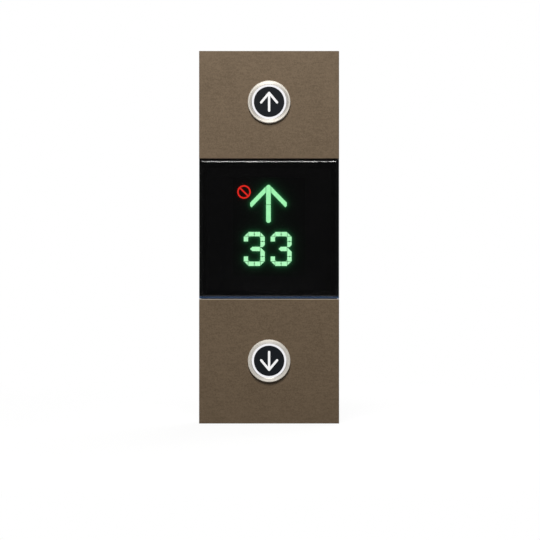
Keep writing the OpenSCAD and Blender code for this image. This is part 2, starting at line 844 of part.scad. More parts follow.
module lit_arrow() {
    color([0.6, 1, 0.68]) filling() translate([arrow_x, arrow_tip_z]) lit_arrow_outline();
}
module tens_digit() {
    color([0.6, 1, 0.68]) filling() translate(tens_place) three(tens_bar_x);
}
module units_digit() {
    color([0.6, 1, 0.68]) filling() translate(units_place) three(units_bar_x);
}
module unlit_segments() {
    color([0.1, 0.14, 0.11]) filling() for (place = [tens_place, units_place]) translate(place) dark_left();
}
module no_entry_sign() {
    color([0.93, 0.16, 0.12]) filling() translate([sign_x, sign_z]) sign_outline();
}

module display_mask() {
    color([0.03, 0.03, 0.03]) upright() at_display() difference() {
        pad([0, 0], display_w - 2 * display_gap, display_h - 2 * display_gap, mask_back, mask_front);
        translate([0, 0, mask_back - overrun]) linear_extrude(height = mask_t + 2 * overrun) all_outlines();
    }
}

module light_block() {
    color([0.85, 0.86, 0.85]) upright() at_display() difference() {
        pad([0, 0], display_w - 2 * display_gap, display_h - 2 * display_gap, board_front, mask_back);
        translate([0, 0, board_front - overrun])
            linear_extrude(height = light_block_d + 2 * overrun) all_outlines();
    }
}

// Display electronics

module display_board() {
    color([0.05, 0.3, 0.16]) upright() at_display() difference() {
        pad([0, 0], board_w, board_h, board_back, board_front);
        at_corners(pillar_x, -pillar_z, pillar_z)
            bar(pillar_bore_r, board_back - overrun, board_front + overrun);
    }
}

module display_lamps() {
    color([0.95, 0.95, 0.8]) upright() at_display() {
        for (place = [tens_place, units_place], share = digit_lamp_shares)
            pad(
                place + [share[0] * digit_w, share[1] * digit_h], lamp_w, lamp_w,
                board_front, board_front + lamp_h
            );
        for (share = arrow_lamp_shares)
            pad(
                [arrow_x + share[0] * arrow_l, arrow_tip_z - share[1] * arrow_l], lamp_w, lamp_w,
                board_front, board_front + lamp_h
            );
        for (a = sign_lamp_angles)
            translate([sign_x, sign_z, 0]) rotate([0, 0, a])
                pad(
                    [sign_r - sign_stroke / 2, 0], sign_lamp_w, sign_lamp_w,
                    board_front, board_front + lamp_h
                );
    }
}

module main_chip() {
    color([0.1, 0.1, 0.11]) upright() at_display()
        pad(chip_place, chip_w, chip_w, board_back - chip_t, board_back);
}

module driver_chips() {
    color([0.12, 0.12, 0.13]) upright() at_display() both_sides(driver_place_x)
        pad([0, driver_place_z], driver_w, driver_l, board_back - chip_t, board_back);
}

module capacitors() {
    color([0.7, 0.72, 0.75]) upright() at_display() both_sides(capacitor_place_x)
        translate([0, capacitor_place_z, 0]) bar(capacitor_r, board_back - capacitor_h, board_back);
}

module landing_terminals() {
    pitch = terminal_l / terminal_ways;
    first = -terminal_l / 2 + pitch / 2;
    foot = terminal_place[1] - terminal_w / 2;
    color([0.1, 0.42, 0.24]) upright() at_display() difference() {
        pad(terminal_place, terminal_l, terminal_w, board_back - terminal_h, board_back);
        for (i = [0 : terminal_ways - 1])
            translate([first + i * pitch, foot - overrun, board_back - terminal_h / 2]) rotate([-90, 0, 0])
                cylinder(r = terminal_hole_r, h = terminal_hole_d + overrun);
    }
}

// An open header for a flat plug, with its back on a board and its mouth at the lower level
module header(place, mouth, back) {
    difference() {
        pad(place, header_l, header_w, mouth, back);
        pad(
            place, header_l - 2 * header_wall, header_w - 2 * header_wall,
            mouth - overrun, back - header_wall
        );
    }
}

module button_headers() {
    color([0.93, 0.92, 0.86]) upright() at_display() both_sides(header_place_x)
        header([0, header_place_z], board_back - header_h, board_back);
}

module display_board_screws() {
    socket_r = 1.1;
    socket_d = 0.8;
    color("silver") upright() at_display() at_corners(pillar_x, -pillar_z, pillar_z)
        difference() {
            union() {
                bar(pillar_screw_head_r, board_back - pillar_screw_head_h, board_back);
                bar(pillar_screw_r, board_back, board_back + pillar_screw_l);
            }
            translate([0, 0, board_back - pillar_screw_head_h - overrun])
                cylinder(r = socket_r, h = socket_d + overrun, $fn = 6);
        }
}

// Buttons

// Stands a button's piece at the height of its button
module at_button(y) {
    upright() translate([0, y, 0]) children();
}

// The bezel's section, right of its axis
module bezel_profile() {
    f = bezel_fillet_r;
    c = bezel_chamfer;
    translate([bezel_bore_r, sleeve_back]) square([sleeve_r - bezel_bore_r, bezel_front - sleeve_back - c]);
    translate([bezel_bore_r, bezel_back]) square([bezel_r - bezel_bore_r, bezel_flange_h - f]);
    polygon([
        [bezel_bore_r, bezel_back], [bezel_r - f, bezel_back], [bezel_r - f, bezel_front],
        [bezel_bore_r + c, bezel_front], [bezel_bore_r, bezel_front - c]
    ]);
    intersection() {
        translate([bezel_r - f, bezel_front - f]) circle(f);
        translate([bezel_r - f, bezel_front - f]) square(f);
    }
}

module bezel(y) {
    color([0.78, 0.77, 0.75]) at_button(y) rotate_extrude() bezel_profile();
}

module seal(y) {
    color([0.1, 0.1, 0.1]) at_button(y)
        pipe(sleeve_r + sleeve_gap + seal_w, sleeve_r + sleeve_gap, panel_d, bezel_back);
}

module ring_nut(y) {
    nut_back = housing_front_in - ring_nut_t;
    color([0.75, 0.76, 0.78]) at_button(y) difference() {
        pipe(ring_nut_r, sleeve_r + slip_gap, nut_back, housing_front_in);
        around(ring_nut_notches, ring_nut_r)
            pad([0, 0], 2 * notch_d, notch_w, nut_back - overrun, housing_front_in + overrun);
    }
}

module halo(y) {
    color([0.97, 0.97, 1]) at_button(y) pipe(halo_r, halo_bore_r, halo_back, halo_front);
}

module barrel(y) {
    color([0.09, 0.09, 0.1]) at_button(y) {
        difference() {
            union() {
                bar(barrel_r, barrel_back, halo_back);
                bar(barrel_flange_r, barrel_flange_front - barrel_flange_t, barrel_flange_front);
            }
            bar(barrel_bore_r, floor_front, halo_back + overrun);
            bar(barrel_bore_r, barrel_back - overrun, floor_back);
            bar(stem_r + slip_gap, floor_back - overrun, floor_front + overrun);
            rotate([0, 0, 180 / light_holes])
                around(light_holes, light_hole_place_r)
                    bar(light_hole_r, floor_back - overrun, floor_front + overrun);
        }
        pipe(guide_r, stem_r + slip_gap, floor_back, guide_front);
        around(post_count, board_screw_place_r) difference() {
            bar(board_post_r, round_board_front, floor_front);
            bar(post_bore_r, round_board_front - overrun, floor_back);
        }
    }
}

// The arrow in a cap, pointing up, centred on the origin
module cap_arrow_outline() {
    r = cap_arrow_stroke / 2;
    arm_r = cap_arm_stroke / 2;
    foot = r - cap_arrow_h / 2;
    tip = cap_arrow_h / 2 - arm_r;
    translate([-r, foot]) square([2 * r, tip - foot]);
    translate([0, foot]) circle(r, $fn = 32);
    translate([0, tip]) circle(arm_r, $fn = 32);
    for (side = [0, 1]) mirror([side, 0]) translate([0, tip]) rotate(-cap_arrow_slant) {
        translate([0, -arm_r]) square([cap_arm_l, 2 * arm_r]);
        translate([cap_arm_l, 0]) circle(arm_r, $fn = 32);
    }
}

// turn is 0 for the up button and 180 for the down button
module cap(y, turn) {
    color([0.11, 0.11, 0.12]) at_button(y) difference() {
        union() {
            bar(cap_r, lip_top, cap_front);
            bar(cap_lip_r, cap_back, lip_top);
        }
        bar(cap_bore_r, cap_back - overrun, cap_roof);
        translate([0, 0, cap_roof - overrun]) rotate([0, 0, turn])
            linear_extrude(height = cap_front_t + 2 * overrun) cap_arrow_outline();
    }
}

module cap_arrow(y, turn) {
    color([1, 1, 1]) at_button(y) translate([0, 0, cap_roof]) rotate([0, 0, turn])
        linear_extrude(height = cap_front_t) cap_arrow_outline();
}

module carrier(y) {
    color([0.93, 0.94, 0.95]) at_button(y) {
        bar(cap_bore_r - slip_gap, carrier_back, cap_roof);
        bar(hub_r, hub_back, carrier_back);
        bar(stem_r, plunger_front, hub_back);
    }
}

// The return spring: a wire of six sides swept along a helix
module spring(y) {
    lo = floor_front + spring_wire_r;
    hi = carrier_back - spring_wire_r;
    rings = spring_turns * spring_steps;
    function spring_point(i, j) =
        let (
            a = 360 * i / spring_steps,
            b = 360 * j / wire_sides,
            r = spring_r + spring_wire_r * cos(b)
        ) [r * cos(a), r * sin(a), lo + (hi - lo) * i / rings + spring_wire_r * sin(b)];
    points = [for (i = [0 : rings], j = [0 : wire_sides - 1]) spring_point(i, j)];
    skin = [
        for (i = [0 : rings - 1], j = [0 : wire_sides - 1])
            let (k = (j + 1) % wire_sides, here = i * wire_sides, next = here + wire_sides)
                [here + j, here + k, next + k, next + j]
    ];
    first_end = [[for (j = [wire_sides - 1 : -1 : 0]) j]];
    last_end = [[for (j = [0 : wire_sides - 1]) rings * wire_sides + j]];
    color([0.7, 0.71, 0.73]) at_button(y)
        polyhedron(points = points, faces = concat(skin, first_end, last_end));
}

module round_board(y) {
    color([0.05, 0.3, 0.16]) at_button(y) difference() {
        bar(round_board_r, round_board_back, round_board_front);
        around(post_count, board_screw_place_r)
            bar(post_bore_r, round_board_back - overrun, round_board_front + overrun);
    }
}

module button_lamps(y) {
    color([0.95, 0.95, 0.8]) at_button(y) rotate([0, 0, 180 / light_holes])
        around(light_holes, light_hole_place_r)
            pad([0, 0], lamp_w, lamp_w, round_board_front, round_board_front + lamp_h);
}

module switch_body(y) {
    color([0.15, 0.15, 0.16]) at_button(y) difference() {
        pad([0, 0], switch_w, switch_w, round_board_front, switch_front);
        bar(plunger_r + slip_gap, switch_well, switch_front + overrun);
    }
}

module plunger(y) {
    color([0.85, 0.2, 0.15]) at_button(y) bar(plunger_r, plunger_back, plunger_front);
}

module board_header(y) {
    color([0.93, 0.92, 0.86]) at_button(y)
        header(button_header_place, round_board_back - header_h, round_board_back);
}

module round_board_screws(y) {
    head_r = 1.5;
    color("silver") at_button(y) around(post_count, board_screw_place_r) {
        bar(head_r, round_board_back - board_screw_head_h, round_board_back);
        bar(board_screw_r, round_board_back, round_board_back + board_screw_l);
    }
}

wall_base();
cable_grommet();
housing();
locking_screws();
upper_faceplate();
lower_faceplate();
faceplate_nuts();
window();
window_tape();
display_mask();
light_block();
lit_arrow();
tens_digit();
units_digit();
unlit_segments();
no_entry_sign();
display_board();
display_lamps();
main_chip();
driver_chips();
capacitors();
landing_terminals();
button_headers();
display_board_screws();
bezel(up_button_z);  // up_bezel
seal(up_button_z);  // up_seal
ring_nut(up_button_z);  // up_ring_nut
halo(up_button_z);  // up_halo
barrel(up_button_z);  // up_barrel
cap(up_button_z, 0);  // up_cap
cap_arrow(up_button_z, 0);  // up_cap_arrow
carrier(up_button_z);  // up_carrier
spring(up_button_z);  // up_spring
round_board(up_button_z);  // up_board
button_lamps(up_button_z);  // up_lamps
switch_body(up_button_z);  // up_switch
plunger(up_button_z);  // up_plunger
board_header(up_button_z);  // up_header
round_board_screws(up_button_z);  // up_board_screws
bezel(down_button_z);  // down_bezel
seal(down_button_z);  // down_seal
ring_nut(down_button_z);  // down_ring_nut
halo(down_button_z);  // down_halo
barrel(down_button_z);  // down_barrel
cap(down_button_z, 180);  // down_cap
cap_arrow(down_button_z, 180);  // down_cap_arrow
carrier(down_button_z);  // down_carrier
spring(down_button_z);  // down_spring
round_board(down_button_z);  // down_board
button_lamps(down_button_z);  // down_lamps
switch_body(down_button_z);  // down_switch
plunger(down_button_z);  // down_plunger
board_header(down_button_z);  // down_header
round_board_screws(down_button_z);  // down_board_screws
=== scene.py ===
import json
import math

import bmesh
import bpy
import numpy as np
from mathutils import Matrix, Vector


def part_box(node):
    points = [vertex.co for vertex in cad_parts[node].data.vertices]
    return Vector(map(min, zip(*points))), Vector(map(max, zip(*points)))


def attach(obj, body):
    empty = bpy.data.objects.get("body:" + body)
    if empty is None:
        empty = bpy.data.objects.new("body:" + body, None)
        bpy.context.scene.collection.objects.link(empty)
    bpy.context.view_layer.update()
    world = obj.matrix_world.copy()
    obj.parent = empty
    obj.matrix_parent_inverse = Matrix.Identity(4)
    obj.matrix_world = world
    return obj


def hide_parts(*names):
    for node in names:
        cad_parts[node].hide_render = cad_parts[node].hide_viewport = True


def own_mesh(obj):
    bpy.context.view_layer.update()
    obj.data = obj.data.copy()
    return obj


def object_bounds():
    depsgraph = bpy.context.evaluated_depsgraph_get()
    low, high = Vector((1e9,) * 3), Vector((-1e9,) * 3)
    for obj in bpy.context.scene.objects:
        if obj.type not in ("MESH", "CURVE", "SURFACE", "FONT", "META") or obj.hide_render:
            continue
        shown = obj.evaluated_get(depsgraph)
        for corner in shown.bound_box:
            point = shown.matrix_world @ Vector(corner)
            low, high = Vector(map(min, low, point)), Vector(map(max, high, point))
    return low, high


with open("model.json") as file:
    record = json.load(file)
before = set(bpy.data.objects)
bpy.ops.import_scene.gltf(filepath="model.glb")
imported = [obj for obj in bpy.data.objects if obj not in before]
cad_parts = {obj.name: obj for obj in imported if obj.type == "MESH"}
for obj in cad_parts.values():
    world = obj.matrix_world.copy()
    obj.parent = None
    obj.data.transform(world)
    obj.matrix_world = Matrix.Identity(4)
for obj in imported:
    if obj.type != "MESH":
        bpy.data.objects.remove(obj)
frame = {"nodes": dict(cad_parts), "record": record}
cad_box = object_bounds()
nodes = frame["nodes"]

MM = 0.001
BUTTONS = ("up", "down")

# The photograph: its side in pixels, and where it shows the panel's middle and sides
PHOTO_PX = 540
PANEL_MIDDLE_PX = (269.1, 237.24)
PANEL_WIDTH_PX = 140.0
# The width of the camera's sensor, and how far the camera stands from the plates
SENSOR_MM = 36
CAMERA_DISTANCE = 2.0

# The window is a closed solid, so light from behind it comes through two of its faces
WINDOW_ALPHA = 0.6
WINDOW_PASS = (1 - WINDOW_ALPHA) ** 2
# How wide the rounding of its front edges is
WINDOW_EDGE = 0.45 * MM
# How far up from its lower edge the window's bevel carries a painted bluish reflection, and how wide that
# edge stays unpainted and dark
PAINTED_REFLECTION_HEIGHT = 2.2 * MM
DARK_EDGE = 0.35 * MM
# How far from its upper and lower edge the window is only sawn and flame polished
SAWN_EDGE = 3.2 * MM
# How far from the lower plate's top edge a highlight is painted lighter into its paint
PAINTED_HIGHLIGHT_WIDTH = 0.4 * MM
# How far in from a bezel's outside its rounded rim starts, and where all of it is rim
RIM_START = 1.5 * MM
RIM_FULL = 0.8 * MM
# How wide the brushed lines of a bezel are, and how far one radian counts along them, both in
# mm: less than it really is, so that they run on around the axis
BRUSHED_LINE = 1 / 9
RADIAN_ALONG = 1.5

# Colours are linear red, green and blue
WHITE = (1.0, 1.0, 1.0)
GREEN = (0.39, 1.0, 0.49)
DIGIT_GREEN = (0.46, 1.0, 0.545)
RED = (0.83, 0.022, 0.013)
BRUSHED_STEEL = (0.81, 0.77, 0.705)
PAINT = ((0.108, 0.0755, 0.0452), (0.159, 0.114, 0.0718))
# The lighter colour painted as a highlight along the lower plate's top edge
PAINTED_EDGE_HIGHLIGHT = (0.42, 0.37, 0.30)
MASK_BLACK = ((0.009, 0.009, 0.009), (0.014, 0.014, 0.014))
WINDOW_BLACK = ((0.0015, 0.0015, 0.0016), (0.0026, 0.0026, 0.0028))
# A bluish reflection painted into the colour of the window's lower bevel
PAINTED_REFLECTION_BLUE = (0.03, 0.12, 0.33)
BOARD_MASK = (0.010, 0.075, 0.032)
BOARD_TRACK = (0.022, 0.14, 0.05)

# The light that the signs spill on the black around them: its name in the mesh, the grid it is
# worked out on, its colours, and how far each part of it spreads and how strong it is
SPILL = "spill"
SPILL_STEP = 1.0 * MM
SPILL_GREEN = (0.10, 1.0, 0.32)
SPILL_RED = (0.13, 0.003, 0.002)
SPILLS = ((1.0 * MM, 0.16), (4.0 * MM, 0.034))
# A face that looks forwards has a normal with less than this along y
FORWARDS = -0.9
# How far behind a piece's front a point still counts as lying on it
ON_FRONT = 0.1 * MM

# Points closer than this are one point, and points closer than this to a cut lie on it
WELD_GAP = 0.001 * MM
CUT_GAP = 0.0001 * MM
# Faces that meet at less than the first angle are one face, and over the second the edge is sharp
FLAT_ANGLE = math.radians(1)
SHARP_ANGLE = math.radians(20)
ROUNDING_STEPS = 4

SPRING_TURNS = 5
SPRING_WIRE_R = 0.35 * MM
SPRING_STEPS = 28
WIRE_SIDES = 12

# The floor's half width, and how white it is to the camera near the panel and further off
FLOOR_REACH = 6.0
FLOOR_WHITE = (0.9, 1.0)
FLOOR_FADE = (0.25, 0.7)
# The floor's tone as light on the object, and as it is seen
FLOOR_DIM = (0.10, 0.10, 0.10)
FLOOR_PALE = (0.86, 0.86, 0.86)

# The room: its light on the object, and its dark parts as the object mirrors them, with the
# angles from straight ahead and the sideways parts of a direction between which they fade
AMBIENT = (0.048, 0.048, 0.049)
ROOM_DARK = (0.04, 0.042, 0.045)
DARK_AHEAD = (math.cos(math.radians(28)), math.cos(math.radians(11)))
DARK_ASIDE = (0.22, 0.42)
ASIDE_DEPTH = 0.95

# The lamps, which all point at the panel's middle: place, width and height, watts and colour
LAMPS = {
    "key": ((-0.068, -0.90, 0.92), (0.38, 0.53), 19.7, (1.0, 0.985, 0.96)),
    "back": ((0.35, 0.95, 0.75), (0.7, 0.5), 14.0, WHITE),
}


def put(name, data):
    """A new object in the scene that shows some data."""
    made = bpy.data.objects.new(name, data)
    bpy.context.scene.collection.objects.link(made)
    return made


def place_camera():
    """Looks at the panel square on, as the photograph does."""
    low, high = cad_box
    scale = (high.x - low.x) / PANEL_WIDTH_PX
    camera = bpy.data.cameras.new("camera")
    camera.sensor_width = SENSOR_MM
    camera.lens = SENSOR_MM * CAMERA_DISTANCE / (PHOTO_PX * scale)
    camera_object = put("camera", camera)
    middle = PHOTO_PX / 2
    camera_object.location = (
        (middle - PANEL_MIDDLE_PX[0]) * scale,
        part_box("upper_faceplate")[0].y - CAMERA_DISTANCE,
        (PANEL_MIDDLE_PX[1] - middle) * scale,
    )
    camera_object.rotation_euler = (math.radians(90), 0, 0)
    bpy.context.scene.camera = camera_object


place_camera()


# Materials

# Where most of a noise's values lie
NOISE_SPREAD = (0.25, 0.75)

SOCKETS = {
    "base_colour": "Base Color", "ior": "IOR", "specular": "Specular IOR Level",
    "anisotropic_rotation": "Anisotropic Rotation",
    "emission_colour": "Emission Color", "emission_strength": "Emission Strength",
}


def opaque(colour):
    """A colour with its alpha, unless it is a socket or has one."""
    if isinstance(colour, bpy.types.NodeSocket) or len(colour) == 4:
        return colour
    return (*colour, 1.0)


def shade(colour, factor):
    return tuple(c * factor for c in colour)


class ShaderTree:
    """A tree of shader nodes, emptied, with short ways to fill it."""

    def __init__(self, tree):
        self.tree = tree
        self.tree.nodes.clear()

    def add(self, kind, inputs=None, **properties):
        made = self.tree.nodes.new("ShaderNode" + kind)
        for name, value in properties.items():
            setattr(made, name, value)
        for name, value in (inputs or {}).items():
            self.feed(made.inputs[name], value)
        return made

    def feed(self, socket, value):
        if isinstance(value, bpy.types.NodeSocket):
            self.tree.links.new(value, socket)
        else:
            socket.default_value = value

    def math(self, operation, first, second=0.0, third=0.0):
        return self.add("Math", {0: first, 1: second, 2: third}, operation=operation).outputs[0]

    def math_vector(self, operation, first, second):
        return self.add("VectorMath", {0: first, 1: second}, operation=operation).outputs[0]

    def weigh(self, *parts):
        """The sum of values, each with its own weight."""
        total = 0.0
        for value, weight in parts:
            total = self.math("MULTIPLY_ADD", value, weight, total)
        return total

    def span(self, value, to, spread=NOISE_SPREAD):
        """A value that runs over a spread, mapped to another one."""
        ends = {"From Min": spread[0], "From Max": spread[1], "To Min": to[0], "To Max": to[1]}
        return self.add("MapRange", {"Value": value, **ends}).outputs["Result"]

    def blend(self, value, low, high):
        """A colour between two, or with a socket for one of them."""
        mixed = self.add("Mix", data_type="RGBA")
        given = {"Factor_Float": value, "A_Color": opaque(low), "B_Color": opaque(high)}
        for socket in mixed.inputs:
            if socket.identifier in given:
                self.feed(socket, given[socket.identifier])
        return next(s for s in mixed.outputs if s.identifier == "Result_Color")

    def to_eye(self):
        """1 for what the camera sees straight or through glass, and 0 for the rest."""
        path = self.add("LightPath").outputs
        return self.math("MAXIMUM", path["Is Camera Ray"], path["Is Transmission Ray"])


class Finish(ShaderTree):
    """A material being made: one Principled shader and the nodes that feed it."""

    def __init__(self, name, **sockets):
        self.material = bpy.data.materials.new(name)
        self.material.use_nodes = True
        super().__init__(self.material.node_tree)
        self.shader = self.add("BsdfPrincipled")
        self.surface = self.add("OutputMaterial").inputs["Surface"]
        self.feed(self.surface, self.shader.outputs[0])
        self.set(**sockets)

    def set(self, **sockets):
        """Feeds the shader's sockets, whose names are given with _ for each space."""
        for name, value in sockets.items():
            title = SOCKETS.get(name, name.replace("_", " ").capitalize())
            if name.endswith("colour"):
                value = opaque(value)
            self.feed(self.shader.inputs[title], value)

    def place(self, centre=(0, 0, 0), stretch=(1, 1, 1)):
        """The point on the object, in metres, from a centre and stretched along each axis."""
        point = self.add("TexCoord").outputs["Object"]
        moved = self.math_vector("SUBTRACT", point, centre)
        return self.math_vector("MULTIPLY", moved, stretch)

    def height(self, place):
        return self.add("SeparateXYZ", {0: place}).outputs[2]

    def from_height(self, place, level):
        """How far a point lies above or below a level."""
        return self.math("ABSOLUTE", self.math("SUBTRACT", self.height(place), level))

    def around_axis(self, centre):
        """The distance from a button's axis, the angle around it and the place along it."""
        point = self.math_vector("SUBTRACT", self.add("TexCoord").outputs["Object"], centre)
        across, along, up = self.add("SeparateXYZ", {0: point}).outputs
        squares = self.math("MULTIPLY_ADD", across, across, self.math("MULTIPLY", up, up))
        return self.math("SQRT", squares), self.math("ARCTAN2", up, across), along

    def noise(self, place, size, detail=3.0, roughness=0.55):
        inputs = {"Vector": place, "Scale": 1 / size, "Detail": detail, "Roughness": roughness}
        return self.add("TexNoise", inputs).outputs["Fac"]

    def cells(self, place, size, feature="F1"):
        """Cells of about a size: how far a point is from a cell's middle, or from its edge."""
        inputs = {"Vector": place, "Scale": 1 / size}
        return self.add("TexVoronoi", inputs, feature=feature).outputs["Distance"]

    def levels(self, place, size):
        """Cells of about a size, each with a level of its own."""
        colour = self.add("TexVoronoi", {"Vector": place, "Scale": 1 / size}).outputs["Color"]
        return self.add("SeparateColor", {0: colour}).outputs[0]

    def bump(self, height, depth):
        return self.add("Bump", {"Height": height, "Distance": depth}).outputs["Normal"]


def moulded(name, colour, roughness=0.5, grain=0.35 * MM, depth=0.012 * MM, **more):
    """Moulded plastic with a fine spark-eroded grain and a faint cloudiness."""
    finish = Finish(name, **more)
    place = finish.place()
    grains = finish.noise(place, grain, 4)
    clouds = finish.noise(place, 40 * grain, 2)
    finish.set(
        base_colour=finish.blend(clouds, shade(colour, 0.9), shade(colour, 1.1)),
        roughness=finish.span(grains, (roughness - 0.06, roughness + 0.06)),
        normal=finish.bump(grains, depth),
    )
    return finish.material


def rubber(name, colour):
    """Rubber or foam: rough, with shallow pores and paler dust in them."""
    finish = Finish(name, specular=0.3)
    place = finish.place()
    dust = finish.noise(place, 3 * MM, 4)
    finish.set(
        base_colour=finish.blend(dust, shade(colour, 0.8), shade(colour, 1.5)),
        roughness=finish.span(dust, (0.7, 0.88)),
        normal=finish.bump(finish.cells(place, 0.6 * MM), 0.03 * MM),
    )
    return finish.material


def rolled_sheet(name, colour):
    """Zinc-plated sheet: streaks along the rolling direction and a pattern of dull crystals."""
    finish = Finish(name, metallic=1.0)
    place = finish.place()
    streaks = finish.noise(finish.place(stretch=(1, 1, 0.02)), 0.7 * MM, 4)
    crystals = finish.levels(place, 7 * MM)
    smears = finish.noise(place, 45 * MM, 3, 0.6)
    tone = finish.weigh((crystals, 0.35), (smears, 0.65))
    dulled = finish.weigh((streaks, 1.0), (crystals, 0.3))
    finish.set(
        base_colour=finish.blend(tone, shade(colour, 0.82), shade(colour, 1.08)),
        roughness=finish.span(dulled, (0.34, 0.52), (0.3, 1.0)),
        normal=finish.bump(streaks, 0.004 * MM),
    )
    return finish.material


def turned_steel(name, colour, centre, outer_r):
    """Stainless steel brushed around the axis of a button, and duller on its rounded rim."""
    finish = Finish(name, metallic=1.0, anisotropic=0.42, anisotropic_rotation=0.25)
    radius, angle, along = finish.around_axis(centre)
    ring = finish.math("MULTIPLY", finish.math("ADD", radius, along), 1 / MM)
    around = finish.add("CombineXYZ", {0: ring, 1: finish.math("MULTIPLY", angle, RADIAN_ALONG)}).outputs[0]
    lines = finish.noise(around, BRUSHED_LINE, 5, 0.7)
    broad = finish.noise(finish.place(centre), 5 * MM, 3)
    on_rim = finish.span(radius, (0, 1), (outer_r - RIM_START, outer_r - RIM_FULL))
    inside = finish.blend(lines, shade(colour, 0.80), shade(colour, 0.97))
    rim = finish.blend(lines, shade(colour, 0.70), shade(colour, 0.80))
    lined = finish.span(finish.weigh((lines, 1.0), (broad, 0.3)), (0.30, 0.43), (0.4, 0.9))
    finish.set(
        base_colour=finish.blend(on_rim, inside, rim),
        roughness=finish.weigh((lined, 1.0), (on_rim, 0.45)),
        normal=finish.bump(lines, 0.0025 * MM),
        tangent=finish.add("Tangent", direction_type="RADIAL", axis="Y").outputs[0],
    )
    return finish.material


def plated(name, colour, roughness=0.3):
    """Small plated steel pieces: screws, nuts and springs."""
    finish = Finish(name, metallic=1.0)
    place = finish.place()
    wear = finish.noise(place, 1.5 * MM, 4)
    fine = finish.noise(place, 0.15 * MM, 2)
    finish.set(
        base_colour=finish.blend(wear, shade(colour, 0.85), shade(colour, 1.08)),
        roughness=finish.span(wear, (roughness - 0.08, roughness + 0.12)),
        normal=finish.bump(fine, 0.003 * MM),
    )
    return finish.material


def lit(name, colour, level, behind=1.0):
    """A milky or clear filling with a lamp behind it, a little uneven in its light."""
    finish = Finish(name, base_colour=shade(colour, 0.15), roughness=0.35, specular=0.3)
    place = finish.place()
    uneven = finish.noise(place, 3.2 * MM, 2)
    grains = finish.noise(place, 0.5 * MM, 3)
    tone = finish.span(finish.weigh((uneven, 0.7), (grains, 0.3)), (0, 1), (0.35, 0.65))
    finish.set(
        emission_colour=finish.blend(tone, shade(colour, 0.9), colour),
        emission_strength=level / behind,
    )
    return finish.material


def spill_black(name):
    """Matt black that carries the light of the signs, from the colours kept in the mesh."""
    finish = Finish(name, roughness=0.7, specular=0.3)
    grains = finish.noise(finish.place(), 0.2 * MM, 4)
    spill = finish.add("Attribute", attribute_name=SPILL, attribute_type="GEOMETRY")
    finish.set(
        base_colour=finish.blend(grains, *MASK_BLACK),
        emission_colour=spill.outputs["Color"],
        emission_strength=1 / WINDOW_PASS,
        normal=finish.bump(grains, 0.004 * MM),
    )
    return finish.material


def circuit_board(name):
    """Green solder mask over a pattern of copper tracks."""
    finish = Finish(name, roughness=0.28, specular=0.5)
    lanes = finish.cells(finish.place(stretch=(1, 1, 0.25)), 2.2 * MM, "DISTANCE_TO_EDGE")
    on_track = finish.span(lanes, (1, 0), (0.05, 0.09))
    weave = finish.noise(finish.place(), 0.4 * MM, 2)
    finish.set(
        base_colour=finish.blend(on_track, BOARD_MASK, BOARD_TRACK),
        normal=finish.bump(finish.weigh((on_track, 1.0), (weave, 0.15)), 0.03 * MM),
    )
    return finish.material


def painted_plate(name):
    """Satin bronze-brown powder coat, speckled and faintly streaked, with a highlight painted on the lower
    plate's top edge.
    """
    finish = Finish(name, specular=0.22)
    place = finish.place()
    speckle = finish.noise(place, 0.9 * MM, 5, 0.85)
    flakes = finish.levels(place, 1.0 * MM)
    streaks = finish.noise(finish.place(stretch=(0.22, 1, 1)), 2.2 * MM, 3, 0.6)
    clouds = finish.noise(place, 30 * MM, 2)
    skin = finish.noise(place, 0.5 * MM, 3)
    top_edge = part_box("lower_faceplate")[1].z
    # Painted highlight: the lower plate's top edge is painted lighter, standing in for light caught there
    on_painted_highlight = finish.math("LESS_THAN", finish.from_height(place, top_edge), PAINTED_HIGHLIGHT_WIDTH)
    tone = finish.weigh((speckle, 0.40), (flakes, 0.16), (streaks, 0.30), (clouds, 0.14))
    paint = finish.blend(finish.span(tone, (0, 1), (0.38, 0.62)), *PAINT)
    finish.set(
        base_colour=finish.blend(on_painted_highlight, paint, PAINTED_EDGE_HIGHLIGHT),
        roughness=finish.span(skin, (0.5, 0.62)),
        normal=finish.bump(skin, 0.012 * MM),
    )
    return finish.material


def tinted_window(name):
    """Polished dark acrylic that lets the lit signs through, with a bluish reflection painted into its
    lower bevel.
    """
    finish = Finish(name, alpha=WINDOW_ALPHA, specular=0.5, ior=1.49)
    place = finish.place()
    smears = finish.noise(place, 30 * MM, 3, 0.6)
    low, high = (corner.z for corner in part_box("window"))
    height = finish.height(place)
    # Painted reflection: the lower bevel's colour turns bluish, standing in for light reflected from below
    below = finish.span(height, (1, 0), (low + PAINTED_REFLECTION_HEIGHT * 0.7, low + PAINTED_REFLECTION_HEIGHT))
    above_edge = finish.math("GREATER_THAN", height, low + DARK_EDGE)
    painted_reflection_band = finish.math("MULTIPLY", below, above_edge)
    from_middle = finish.from_height(place, (low + high) / 2)
    near_edge = finish.math("GREATER_THAN", from_middle, (high - low) / 2 - SAWN_EDGE)
    polish = finish.span(smears, (0.035, 0.07))
    finish.set(
        base_colour=finish.blend(painted_reflection_band, finish.blend(smears, *WINDOW_BLACK), PAINTED_REFLECTION_BLUE),
        roughness=finish.weigh((polish, 1.0), (near_edge, 0.08)),
    )
    return finish.material


